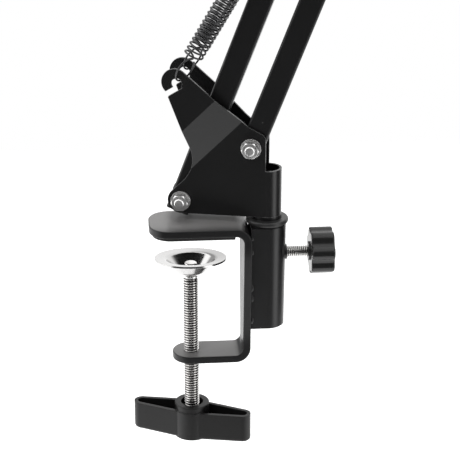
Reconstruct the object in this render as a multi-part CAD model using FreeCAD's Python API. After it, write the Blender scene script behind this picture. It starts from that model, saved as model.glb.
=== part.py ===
import FreeCAD, Part
import math
import os

V = FreeCAD.Vector

# Microphone boom arm: desk clamp, folded bracket, two spring-balanced parallelograms and a head.
# Frame: origin at the centre of the jaw pad's underside, on the clamp screw's axis.
# +Z is up, +X runs from the clamp screw to the post, +Y points to the back. Millimetres.

# Square tubes of the arm
bar_width = 12.0
bar_wall = 1.0
bar_corner = 1.3
lower_length = 340.0
upper_length = 340.0
bar_overhang = 7.0
lower_lean = 20.9
upper_rise = 25.0

# Sheet metal and fits
sheet = 1.2
bar_side_gap = 0.2
running_gap = 0.05
seat_gap = 0.3
hook_gap = 0.5

# Pivot bolts, size M5
bolt_r = 2.5
bolt_flats = 8.0
bolt_head_height = 3.5
nut_height = 4.0
bolt_tail = 1.0
washer_r = 5.15
washer_height = 1.0
sleeve_r = 4.0

# Clamp strip
strip = 4.0
jaw_width = 31.0
foot_width = 20.0
jaw_opening = 68.0
jaw_tail = 21.5
throat = 26.8
strip_bend = 4.0
jaw_corner = 11.0
strip_edge = 0.6
taper_margin = 5.5
taper_blend = 60.0
pad_height = 1.5
pad_margin = 1.0

# Post socket on the back of the strip
socket_half_top = 9.9
socket_half_bottom = 9.3
socket_top = 3.3
socket_bottom = -53.0
socket_floor = 3.0
post_offset = 9.0
post_r = 7.4
post_tip = -48.0
liner_wall = 0.85
liner_neck_r = 9.4
liner_groove = 1.0
liner_flange_r = 11.0
liner_flange = 2.5

# Clamp screw, its pad and its wing handle
screw_r = 3.97
screw_pitch = 1.411
screw_depth = 0.8
hub_z = -23.64
dish_r = 18.7
dish_cup_r = 13.0
dish_hub_r = 7.0
dish_depth = 7.9
dish_lip = 0.5
dish_round = 5.0
dish_wall = 1.0
dish_hole_r = 2.1
dish_tilt = 7.0
rivet_r = 3.4
rivet_height = 5.0
rivet_round = 0.9
rivet_shank_r = 1.8
pad_washer_r = 3.9
pad_washer_height = 0.8
thread_start = 0.4
boss_r = 9.3
boss_top = -98.9
boss_height = 19.0
boss_well_r = 6.0
boss_well_depth = 7.0
boss_step = 0.5
wing_span = 65.3
wing_height = 15.6
wing_root = 17.2
wing_tip = 8.8
wing_wall = 1.9
wing_floor = 2.5
wing_corner = 1.6
handle_turn = -20.0

# Lock screw, size M6, across the socket
lock_z = -13.2
lock_r = 3.0
lock_pitch = 1.0
lock_depth = 0.5
lock_nose = 1.0
lock_nose_gap = 0.1
lock_spigot_r = 1.5
lock_spigot = 3.0
insert_r = 4.0
insert_proud = 0.5
knob_r = 12.5
knob_groove_r = 10.7
knob_lobes = 7
knob_inner = 62.3
knob_height = 12.2
knob_hub_r = 5.0
knob_hub = 1.0
knob_edge = 1.0
knob_blind = 3.5

# Base bracket, in the arm's plane: x from the post axis, z from the frame's origin
arm_turn = -13.5
pivot_low = (-43.8, 15.7)
pivot_high = (-7.4, 45.8)
bracket_bottom = 8.8
bend_top = 33.6
spigot_top = 30.0
waist = (-34.5, 34.4)
waist_r = 17.5
waist_slope = 44.0
slot_corner = (-49.0, 71.9)
hook_centre = (-45.5, 79.8)
hook_r = 6.8
slot_width = 2.8
slot_angle = 32.0
slot_drop = 2.0
slot_end = 1.2
eye_centre = (-44.5, 79.1)
eye_r = 2.7
shoulder = (-9.6, 57.3)
shoulder_r = 8.0
brow = (0.0, 52.3)
brow_r = 3.5
crest_angle = -41.0
fold_angle = 45.0
fold_start = 50.6
fold_end = 68.1
fold_out = 4.0

# Springs
coil_r = 4.65
wire_r = 0.5
coil_turns = 44
coil_lead = 1.8
ring_reach = 6.6
ring_tilt = 40.0
ring_open = 40.0
spring_pin_at = 200.0
spring_pin_r = 2.0
spring_pin_body_r = 2.5
spring_pin_head_r = 3.4
spring_pin_head = 1.6
spring_groove = 2.4
spring_out = 12.0

# Elbow plates: upper pivots and horn, measured from the top of the lower left tube
elbow_low_pivot = (7.5, 38.7)
elbow_high_pivot = (22.5, 70.7)
elbow_rim = 7.5
elbow_horn_along = 20.0
elbow_horn_up = 12.0
elbow_horn_r = 6.0
elbow_horn_eye_r = 2.9
elbow_fold_length = 7.0
elbow_fold_from = 8.5
tie_r = 4.0

# Head bracket, swivel and tilting knuckle, measured from the end of the lower of the upper tubes
head_rim = 7.5
head_bend_x = -26.0
head_bottom = -9.0
head_top = 30.0
head_bush_r = 6.15
head_bush_drop = 2.0
head_bush_rise = 2.5
swivel_r = 4.0
swivel_collar_r = 8.5
swivel_collar = 3.0
swivel_nut_height = 5.5
swivel_nut_flats = 13.0
swivel_tail = 1.5
yoke_gap = 12.4
yoke_ear = 4.0
yoke_width = 16.0
yoke_crown = 5.0
yoke_pivot_drop = 16.0
knuckle_side_gap = 0.2
knuckle_r = 7.0
tilt_bolt_r = 3.0
neck_r = 5.5
neck_length = 13.0
stud_flange_r = 11.0
stud_flange = 3.0
stud_flange_edge = 0.6
stud_r = 7.94
stud_length = 14.0
stud_bevel = 1.0
tilt_knob_r = 10.0
tilt_knob_groove_r = 8.6
tilt_knob_height = 9.0
tilt_washer_r = 6.0
tilt_washer_height = 1.2
tilt_head_height = 2.6
tilt_head_r = 6.0

# Values worked out from the driving sizes
inner_y = bar_width / 2 + bar_side_gap
outer_y = inner_y + sheet
strip_outer_x = throat + strip
post_x = strip_outer_x + post_offset
lower_dir = (math.sin(math.radians(lower_lean)), math.cos(math.radians(lower_lean)))
upper_dir = (-math.cos(math.radians(upper_rise)), math.sin(math.radians(upper_rise)))
liner_inner_r = post_r + running_gap
liner_outer_r = liner_inner_r + liner_wall
socket_bore_r = liner_outer_r + running_gap


def along(start, direction, distance):
    return (start[0] + direction[0] * distance, start[1] + direction[1] * distance)


elbow_left = along(pivot_low, lower_dir, lower_length)
elbow_right = along(pivot_high, lower_dir, lower_length)
upper_low = (elbow_left[0] + elbow_low_pivot[0], elbow_left[1] + elbow_low_pivot[1])
upper_high = (elbow_left[0] + elbow_high_pivot[0], elbow_left[1] + elbow_high_pivot[1])
head_low = along(upper_low, upper_dir, upper_length)
head_high = along(upper_high, upper_dir, upper_length)
upper_up = (upper_dir[1], -upper_dir[0])
horn = along(along(upper_high, upper_dir, elbow_horn_along), upper_up, elbow_horn_up)
lower_pin = along(pivot_low, lower_dir, spring_pin_at)
upper_pin = along(upper_high, upper_dir, spring_pin_at)
hook_y = inner_y + sheet / 2 + fold_out


# Small tools for shapes

def polar(angle, length=1.0):
    return (math.cos(math.radians(angle)) * length, math.sin(math.radians(angle)) * length)


def at(point, y=0.0):
    return V(point[0], y, point[1])


def cross_pin(point, y0, y1, radius):
    return Part.makeCylinder(radius, y1 - y0, at(point, y0), V(0, 1, 0))


def tube(point, y0, y1, radius, bore):
    return cross_pin(point, y0, y1, radius).cut(cross_pin(point, y0 - 1, y1 + 1, bore))


def join(shapes):
    result = shapes[0]
    if len(shapes) > 1:
        result = result.multiFuse(shapes[1:])
    return result.removeSplitter()


def rounded_outline(corners, y):
    """Closed outline in the arm's plane: straight sides between corners (x, z, radius)."""
    count = len(corners)
    ends = []
    for i in range(count):
        x, z, radius = corners[i]
        corner = V(x, y, z)
        before = at(corners[i - 1], y) - corner
        after = at(corners[(i + 1) % count], y) - corner
        before = before / before.Length
        after = after / after.Length
        if radius == 0:
            ends.append((corner, None, corner))
            continue
        half = before.getAngle(after) / 2
        reach = radius / math.tan(half)
        middle = (before + after) / (before + after).Length
        nearest = radius / math.sin(half) - radius
        ends.append((corner + before * reach, corner + middle * nearest, corner + after * reach))
    edges = []
    for i in range(count):
        start, middle, end = ends[i]
        if middle is not None:
            edges.append(Part.Arc(start, middle, end).toShape())
        edges.append(Part.LineSegment(end, ends[(i + 1) % count][0]).toShape())
    return Part.Wire(edges)


def sharp_edges(solid):
    """Edges where two faces of a solid meet at a clear angle."""
    sharp = []
    for e in solid.Edges:
        sides = solid.ancestorsOfType(e, Part.Face)
        middle = e.valueAt((e.FirstParameter + e.LastParameter) / 2)
        normals = [f.normalAt(*f.Surface.parameter(middle)) for f in sides]
        if len(normals) == 2 and abs(normals[0].dot(normals[1])) < 0.9:
            sharp.append(e)
    return sharp


def hull_outline(circles, y):
    """Outline of a band stretched round circles (point, radius), listed anticlockwise."""
    count = len(circles)
    normals = []
    for i in range(count):
        (x0, z0), r0 = circles[i]
        (x1, z1), r1 = circles[(i + 1) % count]
        heading = math.atan2(z1 - z0, x1 - x0)
        spread = math.acos((r0 - r1) / math.hypot(x1 - x0, z1 - z0))
        normals.append(heading - spread)
    edges = []
    for i in range(count):
        (x, z), radius = circles[i]
        start = normals[i - 1]
        sweep = (normals[i] - start) % (2 * math.pi)
        rim = []
        for part in (0.0, 0.5, 1.0):
            turn = start + sweep * part
            rim.append(V(x + radius * math.cos(turn), y, z + radius * math.sin(turn)))
        edges.append(Part.Arc(rim[0], rim[1], rim[2]).toShape())
        (x1, z1), r1 = circles[(i + 1) % count]
        landing = V(x1 + r1 * math.cos(normals[i]), y, z1 + r1 * math.sin(normals[i]))
        edges.append(Part.LineSegment(rim[2], landing).toShape())
    return Part.Wire(edges)


def prism(wire, depth):
    return Part.Face(wire).extrude(V(0, depth, 0))


def folded_slab(angle, start, end, out, reach):
    """Sheet whose faces step outwards between two fold lines that run at an angle."""
    ux, uz = polar(angle)
    nx, nz = -uz, ux
    profile = [(-reach, 0.0), (start, 0.0), (end, out), (reach, out)]
    points = []
    for distance, rise in profile:
        points.append((distance, inner_y + rise))
    for distance, rise in reversed(profile):
        points.append((distance, outer_y + rise))
    corners = []
    for distance, y in points:
        corners.append(V(nx * distance - ux * reach, y, nz * distance - uz * reach))
    corners.append(corners[0])
    return Part.Face(Part.makePolygon(corners)).extrude(V(ux, 0, uz) * (2 * reach))


def mirrored(shape):
    return shape.mirror(V(0, 0, 0), V(0, 1, 0))


def hex_solid(flats, height, bore):
    """Hexagonal nut or head from z = 0 up, with its outer corners turned down."""
    corner_r = flats / math.sqrt(3)
    points = []
    for i in range(7):
        x, y = polar(60 * i, corner_r)
        points.append(V(x, y, 0))
    solid = Part.Face(Part.makePolygon(points)).extrude(V(0, 0, height))
    bevel = corner_r - flats / 2
    blank = Part.makeCylinder(corner_r, height)
    top = [e for e in blank.Edges if e.Vertexes[0].Z > height / 2 and e.Length > corner_r * 3]
    solid = solid.common(blank.makeChamfer(bevel, top))
    if bore > 0:
        solid = solid.cut(Part.makeCylinder(bore, height))
    return solid


def onto_pivot(solid, point, y, front):
    """Stands a solid made along +Z on a pivot's line, pointing to the front or to the back."""
    turn = 90 if front else -90
    return solid.rotated(V(0, 0, 0), V(1, 0, 0), turn).translated(at(point, y))


def ring_thread(radius, depth, pitch, start, end):
    """Threaded rod along +Z, its thread drawn as one groove per pitch."""
    root = radius - depth
    count = int((end - start) / pitch)
    points = [V(0, 0, start), V(root, 0, start)]
    for i in range(count):
        base = start + i * pitch
        points.append(V(radius, 0, base + 0.38 * pitch))
        points.append(V(radius, 0, base + 0.55 * pitch))
        points.append(V(root, 0, base + 0.93 * pitch))
        points.append(V(root, 0, base + pitch))
    points.append(V(root, 0, end))
    points.append(V(0, 0, end))
    points.append(points[0])
    return Part.Face(Part.makePolygon(points)).revolve(V(0, 0, 0), V(0, 0, 1), 360)


def lobed_prism(outer, groove, lobes, height, edge):
    """Knob body along +Z: round lobes with round grooves between them."""
    step = 360.0 / lobes
    shared = (outer + groove) / 2
    edges = []
    for i in range(lobes):
        middle = i * step
        rim = []
        for turn, radius in ((-0.28, shared), (0.0, outer), (0.28, shared), (0.5, groove), (0.72, shared)):
            x, y = polar(middle + turn * step, radius)
            rim.append(V(x, y, 0))
        edges.append(Part.Arc(rim[0], rim[1], rim[2]).toShape())
        edges.append(Part.Arc(rim[2], rim[3], rim[4]).toShape())
    solid = Part.Face(Part.Wire(edges)).extrude(V(0, 0, height))
    rims = []
    for e in solid.Edges:
        low, high = e.BoundBox.ZMin, e.BoundBox.ZMax
        if high - low < 0.01:
            rims.append(e)
    return solid.makeFillet(edge, rims)


def in_frame(shape):
    """Turns a shape of the arm's plane about the post and sets it on the post's axis."""
    return shape.rotated(V(0, 0, 0), V(0, 0, 1), arm_turn).translated(V(post_x, 0, 0))


# Spring: coils, and at each end a full ring on the spring's own axis

def arc_edge(start, corner, end):
    half_chord = (end - start) * 0.5
    lift = corner - (start + half_chord)
    leg = (corner - start).Length
    cosine = half_chord.Length / leg
    sine = lift.Length / leg
    bulge = leg * cosine / sine * (1 / cosine - 1)
    return Part.Arc(start, corner - lift * (bulge / lift.Length), end).toShape()


def biarc(start, start_dir, end, end_dir):
    """Two arcs that leave a point along one direction and arrive at another along a second."""
    gap = end - start
    both = start_dir + end_dir
    a = 4 - both.dot(both)
    b = 2 * gap.dot(both)
    reach = (math.sqrt(b * b + 4 * a * gap.dot(gap)) - b) / (2 * a)
    joint = (start + start_dir * reach + end - end_dir * reach) * 0.5
    return [arc_edge(start, start + start_dir * reach, joint), arc_edge(joint, end - end_dir * reach, end)]


def ring_edges(centre, first, second, start, end):
    """Arcs of a long ring about a centre, ring_reach along the first direction and coil_r along the second."""
    pieces = 8
    forward = 1 if end > start else -1
    points = []
    ways = []
    for i in range(pieces + 1):
        turn = math.radians(start + (end - start) * i / pieces)
        points.append(centre + first * (ring_reach * math.cos(turn)) + second * (coil_r * math.sin(turn)))
        way = second * (coil_r * math.cos(turn)) - first * (ring_reach * math.sin(turn))
        ways.append(way * (forward / way.Length))
    edges = []
    for i in range(pieces):
        edges += biarc(points[i], ways[i], points[i + 1], ways[i + 1])
    return edges


def spring_line(eye_end, pin_end):
    """Axis of a spring and the two directions square to it, the first in the arm's plane."""
    axis = pin_end - eye_end
    length = axis.Length
    axis = axis / length
    flat = axis.cross(V(0, 1, 0))
    flat = flat / flat.Length
    return axis, flat, axis.cross(flat), length


def spring_path(eye_end, pin_end):
    axis, flat, deep, length = spring_line(eye_end, pin_end)
    first_turn = math.radians(ring_tilt - 90)
    last_turn = math.radians(90) + 2 * math.pi * coil_turns
    start = 2 * ring_reach + coil_lead
    rise = (length - 2 * start) / (last_turn - first_turn)

    def spot(turn):
        round_it = flat * (coil_r * math.cos(turn)) + deep * (coil_r * math.sin(turn))
        return eye_end + axis * (start + rise * (turn - first_turn)) + round_it

    def heading(turn):
        way = flat * (-coil_r * math.sin(turn)) + deep * (coil_r * math.cos(turn)) + axis * rise
        return way / way.Length

    def around(turn):
        return flat * (-math.sin(turn)) + deep * math.cos(turn)

    first_side = around(first_turn)
    last_side = around(last_turn)
    edges = ring_edges(eye_end + axis * ring_reach, axis, first_side, 360 - ring_open, 0)
    edges += biarc(eye_end + axis * (2 * ring_reach), first_side * -1, spot(first_turn), heading(first_turn))
    steps = round((last_turn - first_turn) / math.pi)
    step = (last_turn - first_turn) / steps
    for i in range(steps):
        a = first_turn + i * step
        b = a + step
        edges += biarc(spot(a), heading(a), spot(b), heading(b))
    edges += biarc(spot(last_turn), heading(last_turn), pin_end - axis * (2 * ring_reach), last_side * -1)
    edges += ring_edges(pin_end - axis * ring_reach, axis * -1, last_side * -1, 0, 360 - ring_open)
    return edges


def least_gap(edges):
    """Least distance between two stretches of the wire's surface, measured on points."""
    points = []
    for e in edges:
        points += e.discretize(9)[:-1]
    skip = 12
    window = 160
    least = 1e9
    for i in range(len(points)):
        for j in range(i + skip, min(i + window, len(points))):
            least = min(least, points[i].distanceToPoint(points[j]))
    return least - 2 * wire_r


def wire_along(edges):
    """Round spring wire along a smooth chain of arcs."""
    first = edges[0]
    way = first.tangentAt(first.FirstParameter)
    start = first.valueAt(first.FirstParameter)
    section = Part.Wire([Part.Circle(start, way, wire_r).toShape()])
    shell = Part.BRepOffsetAPI.MakePipeShell(Part.Wire(edges))
    shell.add(section)
    shell.build()
    shell.makeSolid()
    return shell.shape()


def coil_spring(name, eye_end, pin_end):
    edges = spring_path(eye_end, pin_end)
    path = Part.Wire(edges)
    solid = wire_along(edges)
    share = solid.Volume / (math.pi * wire_r ** 2 * path.Length)
    print(name, "least gap to itself", round(least_gap(edges), 2), "volume share", round(share, 4))
    return solid


def plain_spring(eye_end, pin_end):
    """A spring as one closed rod of its outer size, with an open ring at each end."""
    axis, flat, deep, length = spring_line(eye_end, pin_end)
    start = 2 * ring_reach - 2 * wire_r
    body = Part.makeCylinder(coil_r + wire_r, length - 2 * start, eye_end + axis * start, axis)
    tilt = math.radians(ring_tilt)
    side = flat * math.cos(tilt) + deep * math.sin(tilt)
    solids = [body]
    for centre, first, second in (
        (eye_end + axis * ring_reach, axis, side),
        (pin_end - axis * ring_reach, axis * -1, flat),
    ):
        solids.append(wire_along(ring_edges(centre, first, second, 0, 360 - ring_open)))
    return join(solids)


def spring_ends(eye, eye_radius, eye_y, pin, side):
    """Points where a spring's rings pull on the edge of its eye and on its pin."""
    flat_way = V(pin[0] - eye[0], 0, pin[1] - eye[1])
    flat_way = flat_way / flat_way.Length
    reach = eye_radius - wire_r - hook_gap
    eye_end = at(eye, side * eye_y) + flat_way * reach
    pin_point = at(pin, side * spring_out)
    way = pin_point - eye_end
    pin_end = pin_point + way / way.Length * (spring_pin_r + wire_r + seat_gap)
    return eye_end, pin_end


# Clamp

def clamp_frame():
    top = pad_height + strip
    bottom = -jaw_opening - strip
    outer = strip_bend + strip
    left_foot = -foot_width / 2
    side = [
        (-jaw_tail, pad_height, 0),
        (throat, pad_height, strip_bend),
        (throat, -jaw_opening, strip_bend),
        (left_foot, -jaw_opening, 0),
        (left_foot, bottom, 0),
        (strip_outer_x, bottom, outer),
        (strip_outer_x, top, outer),
        (-jaw_tail, top, 0),
    ]
    body = prism(rounded_outline(side, -jaw_width), 2 * jaw_width)
    reach = jaw_width
    wide = jaw_width / 2
    narrow = foot_width / 2
    taper_top = pad_height - strip_bend - taper_margin
    taper_foot = strip_bend - jaw_opening + taper_margin
    front = [
        (-wide, top + strip, 0),
        (-wide, taper_top, taper_blend),
        (-narrow, taper_foot, taper_blend),
        (-narrow, bottom - strip, 0),
        (narrow, bottom - strip, 0),
        (narrow, taper_foot, taper_blend),
        (wide, taper_top, taper_blend),
        (wide, top + strip, 0),
    ]
    front_prism = prism(rounded_outline(front, 0), 4 * reach)
    body = body.common(front_prism.rotated(V(0, 0, 0), V(0, 0, 1), -90).translated(V(-2 * reach, 0, 0)))
    corners = []
    for e in body.Edges:
        box = e.BoundBox
        if box.XMax < -jaw_tail + 0.01 and box.ZLength > strip - 0.01 and box.YLength < 0.01:
            corners.append(e)
    body = body.makeFillet(jaw_corner, corners)
    end_block = Part.makeBox(reach, 2 * reach, 3 * strip, V(-reach, -reach, bottom - strip))
    end_block = end_block.cut(Part.makeCylinder(foot_width / 2, 3 * strip, V(0, 0, bottom - strip)))
    body = body.cut(end_block)
    body = body.makeFillet(strip_edge, sharp_edges(body))
    hole = Part.makeCylinder(screw_r + running_gap, 3 * strip, V(0, 0, bottom - strip))
    return body.cut(hole)


def jaw_pad():
    left = -jaw_tail + pad_margin + strip_edge
    right = throat - strip_bend - pad_margin / 2
    half = jaw_width / 2 - pad_margin
    pad = Part.makeBox(right - left, 2 * half, pad_height, V(left, -half, 0))
    ends = []
    for e in pad.Edges:
        if e.BoundBox.ZLength > pad_height / 2 and e.BoundBox.XMax < left + 0.01:
            ends.append(e)
    return pad.makeFillet(jaw_corner - pad_margin, ends)


def socket_section(half, z):
    back = strip_outer_x
    nose = V(post_x + half, 0, z)
    left, right = V(post_x, -half, z), V(post_x, half, z)
    edges = [Part.LineSegment(V(back, half, z), V(back, -half, z)).toShape()]
    edges.append(Part.LineSegment(V(back, -half, z), left).toShape())
    edges.append(Part.Arc(left, nose, right).toShape())
    edges.append(Part.LineSegment(right, V(back, half, z)).toShape())
    return Part.Wire(edges)


def lock_bore(radius, start, end):
    return Part.makeCylinder(radius, end - start, V(start, 0, lock_z), V(1, 0, 0))


def post_socket():
    sections = [socket_section(socket_half_top, socket_top), socket_section(socket_half_bottom, socket_bottom)]
    body = Part.makeLoft(sections, True, True)
    floor_z = socket_bottom + socket_floor
    body = body.cut(Part.makeCylinder(socket_bore_r, socket_top - floor_z + 1, V(post_x, 0, floor_z)))
    return body.cut(lock_bore(insert_r, post_x, post_x + 2 * socket_half_top))


def socket_liner():
    floor_z = socket_bottom + socket_floor + seat_gap
    neck_z = socket_top + liner_groove
    rim_z = neck_z + liner_flange
    sleeve = Part.makeCylinder(liner_outer_r, socket_top - floor_z, V(post_x, 0, floor_z))
    neck = Part.makeCylinder(liner_neck_r, liner_groove, V(post_x, 0, socket_top))
    flange = Part.makeCylinder(liner_flange_r, liner_flange, V(post_x, 0, neck_z))
    rims = [e for e in flange.Edges if e.Length > liner_flange_r]
    rims = [e for e in rims if e.BoundBox.ZLength < 0.01]
    flange = flange.makeFillet(0.35 * liner_flange, rims)
    body = join([sleeve, neck, flange])
    body = body.cut(Part.makeCylinder(liner_inner_r, rim_z - floor_z + 2, V(post_x, 0, floor_z - 1)))
    return body.cut(lock_bore(insert_r + running_gap, post_x, post_x + 2 * socket_half_top))


def lock_insert():
    outer = socket_half_top + insert_proud
    body = lock_bore(insert_r, post_x + post_r / 2, post_x + outer)
    body = body.cut(Part.makeCylinder(liner_inner_r + seat_gap, 4 * insert_r, V(post_x, 0, lock_z - 2 * insert_r)))
    return body.cut(lock_bore(lock_r + running_gap, post_x, post_x + 2 * outer))


# Clamp screw

def pressure_disc():
    """Dished pad, its axis leaning back by dish_tilt about the middle of its hub."""
    floor = dish_wall / 2
    rim = floor + dish_depth
    edge = rim - dish_lip
    steepness = math.atan2(edge - floor, dish_cup_r - dish_hub_r)
    shift = dish_wall * math.tan(steepness / 2)
    section = [
        (dish_hole_r, floor, 0),
        (dish_hub_r, floor, dish_round),
        (dish_cup_r, edge, dish_round / 2),
        (dish_r, rim, 0),
        (dish_r, rim - dish_wall, 0),
        (dish_cup_r + shift, edge - dish_wall, dish_round / 4),
        (dish_hub_r + shift, -floor, dish_round + dish_wall),
        (dish_hole_r, -floor, 0),
    ]
    disc = Part.Face(rounded_outline(section, 0)).revolve(V(0, 0, 0), V(0, 0, 1), 360)
    return disc.rotated(V(0, 0, 0), V(1, 0, 0), -dish_tilt).translated(V(0, 0, hub_z))


def hub_room(radius):
    """Height over the middle of the disc's hub that its tilt needs, out to a radius, with the running gap."""
    tilt = math.radians(dish_tilt)
    return dish_wall / 2 * math.cos(tilt) + radius * math.sin(tilt) + running_gap


def pad_washer():
    low = hub_z - hub_room(pad_washer_r) - pad_washer_height
    blank = Part.makeCylinder(pad_washer_r, pad_washer_height, V(0, 0, low))
    return blank.cut(Part.makeCylinder(rivet_shank_r + running_gap, pad_washer_height, V(0, 0, low)))


def clamp_screw():
    shoulder_z = hub_z - hub_room(pad_washer_r) - pad_washer_height - running_gap
    neck = shoulder_z - thread_start
    foot = boss_top - boss_height + wing_floor + 1
    rod = ring_thread(screw_r, screw_depth, screw_pitch, foot, neck)
    shank = Part.makeCylinder(screw_r - screw_depth / 2, thread_start, V(0, 0, neck))
    rivet_z = hub_z + hub_room(rivet_r)
    rivet = Part.makeCylinder(rivet_shank_r, rivet_z - shoulder_z, V(0, 0, shoulder_z))
    head = Part.makeCylinder(rivet_r, rivet_height, V(0, 0, rivet_z))
    crown = [e for e in head.Edges if e.BoundBox.ZMin > rivet_z + rivet_height - 0.01]
    return join([rod, shank, rivet, head.makeFillet(rivet_round, crown)])


def wing_outline(root, tip, span, z):
    """Plan of both wings: a band stretched round the boss and the two round wing ends."""
    reach = (span - tip) / 2
    middle = ((0, 0), root / 2)
    circles = [((-reach, 0), tip / 2), middle, ((reach, 0), tip / 2), middle]
    return hull_outline(circles, 0).rotated(V(0, 0, 0), V(1, 0, 0), -90).translated(V(0, 0, z))


def clamp_handle():
    bottom = boss_top - boss_height
    wings = Part.Face(wing_outline(wing_root, wing_tip, wing_span, bottom)).extrude(V(0, 0, wing_height))
    wings = wings.makeFillet(wing_corner, [e for e in wings.Edges if e.BoundBox.ZMax < bottom + 0.01])
    lower_boss = Part.makeCylinder(boss_r + boss_step, wing_height, V(0, 0, bottom))
    boss = Part.makeCylinder(boss_r, boss_height, V(0, 0, bottom))
    crown = [e for e in boss.Edges if e.BoundBox.ZMin > boss_top - 0.01]
    boss = boss.makeFillet(boss_step, crown)
    body = join([wings, lower_boss, boss])
    inner_span = wing_span - 2 * wing_wall
    pocket = wing_outline(wing_root - 2 * wing_wall, wing_tip - 2 * wing_wall, inner_span, bottom + wing_floor)
    pocket = Part.Face(pocket).extrude(V(0, 0, wing_height))
    pocket = pocket.cut(Part.makeCylinder(boss_r, boss_height, V(0, 0, bottom)))
    body = body.cut(pocket)
    body = body.cut(Part.makeCylinder(boss_well_r, boss_well_depth, V(0, 0, boss_top - boss_well_depth)))
    foot = boss_top - boss_height + wing_floor + 1
    body = body.cut(Part.makeCylinder(screw_r, boss_height, V(0, 0, foot)))
    return body.rotated(V(0, 0, 0), V(0, 0, 1), handle_turn)


# Lock screw

def along_lock(solid, x):
    """Lays a solid made along +Z on the lock screw's line, pointing away from the post."""
    return solid.rotated(V(0, 0, 0), V(0, 1, 0), 90).translated(V(x, 0, lock_z))


def lock_tip():
    start = post_x + post_r + lock_nose_gap
    nose = lock_bore(lock_r - running_gap, start, start + lock_nose)
    return join([nose, lock_bore(lock_spigot_r, start + lock_nose, start + lock_nose + lock_spigot)])


def lock_screw():
    start = post_x + post_r + lock_nose_gap + lock_nose + running_gap
    end = knob_inner + knob_height - knob_blind
    rod = along_lock(ring_thread(lock_r, lock_depth, lock_pitch, 0, end - start), start)
    return rod.cut(lock_bore(lock_spigot_r + running_gap, start, start + lock_spigot + seat_gap))


def lock_knob():
    body = lobed_prism(knob_r, knob_groove_r, knob_lobes, knob_height, knob_edge)
    hub = Part.makeCylinder(knob_hub_r, knob_hub + 1, V(0, 0, -knob_hub))
    body = join([body, hub])
    body = body.cut(Part.makeCylinder(lock_r, knob_height - knob_blind + knob_hub, V(0, 0, -knob_hub)))
    return along_lock(body, knob_inner)


# Square tubes

def bar_tube(start, direction, length, pins):
    """Square tube through two pivots, with round holes for sleeves and pins."""
    half = bar_width / 2
    full = length + 2 * bar_overhang
    solids = []
    for shrink, grow in ((0.0, 0.0), (bar_wall, 1.0)):
        side = half - shrink
        box = Part.makeBox(2 * side, 2 * side, full + 2 * grow, V(-side, -side, -bar_overhang - grow))
        long_edges = [e for e in box.Edges if e.BoundBox.ZLength > full / 2]
        solids.append(box.makeFillet(max(bar_corner - shrink, 0.2), long_edges))
    body = solids[0].cut(solids[1])
    for distance in (0.0, length):
        body = body.cut(cross_pin((0, distance), -bar_width, bar_width, sleeve_r + running_gap))
    for distance in pins:
        body = body.cut(cross_pin((0, distance), -bar_width, bar_width, spring_pin_body_r + running_gap))
    lean = math.degrees(math.atan2(direction[0], direction[1]))
    return body.rotated(V(0, 0, 0), V(0, 1, 0), lean).translated(at(start))


def spring_pin(point):
    groove_inner = spring_out - spring_groove / 2
    groove_outer = spring_out + spring_groove / 2
    body = cross_pin(point, -groove_inner, groove_inner, spring_pin_body_r)
    core = cross_pin(point, -groove_outer, groove_outer, spring_pin_r)
    heads = []
    for y in (-groove_outer - spring_pin_head, groove_outer):
        heads.append(cross_pin(point, y, y + spring_pin_head, spring_pin_head_r))
    return join([body, core] + heads)


# Pivots: sleeves, bolts, nuts and washers

def sleeves(points):
    half = inner_y - running_gap
    return Part.makeCompound([tube(p, -half, half, sleeve_r, bolt_r + running_gap) for p in points])


def pivot_bolt(point):
    head_y = outer_y + washer_height
    tail_y = outer_y + washer_height + nut_height + bolt_tail
    shank = cross_pin(point, -tail_y, head_y, bolt_r)
    head = onto_pivot(hex_solid(bolt_flats, bolt_head_height, 0), point, head_y, False)
    tips = [e for e in shank.Edges if e.BoundBox.YMax < -tail_y + 0.01]
    return join([shank.makeChamfer(0.4, tips), head])


def pivot_nut(point):
    return onto_pivot(hex_solid(bolt_flats, nut_height, bolt_r), point, -outer_y - washer_height, True)


def pivot_washers(point):
    near = -outer_y - washer_height
    shapes = []
    for y in (near, outer_y):
        shapes.append(tube(point, y, y + washer_height, washer_r, bolt_r + running_gap))
    return shapes


def fastener_sets(points):
    bolts = Part.makeCompound([pivot_bolt(p) for p in points])
    nuts = Part.makeCompound([pivot_nut(p) for p in points])
    washers = []
    for p in points:
        washers += pivot_washers(p)
    return bolts, nuts, Part.makeCompound(washers)


def bolt_hole(point):
    return cross_pin(point, -3 * outer_y, 3 * outer_y, bolt_r + running_gap)


# Base bracket and post

def round_bend(z0, z1, side):
    """Half-round bend that joins two plates, open to one side of the post's axis."""
    height = z1 - z0
    ring = Part.makeCylinder(outer_y, height, V(0, 0, z0)).cut(Part.makeCylinder(inner_y, height, V(0, 0, z0)))
    low_x = 0 if side > 0 else -2 * outer_y
    return ring.common(Part.makeBox(2 * outer_y, 4 * outer_y, height, V(low_x, -2 * outer_y, z0)))


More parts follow.
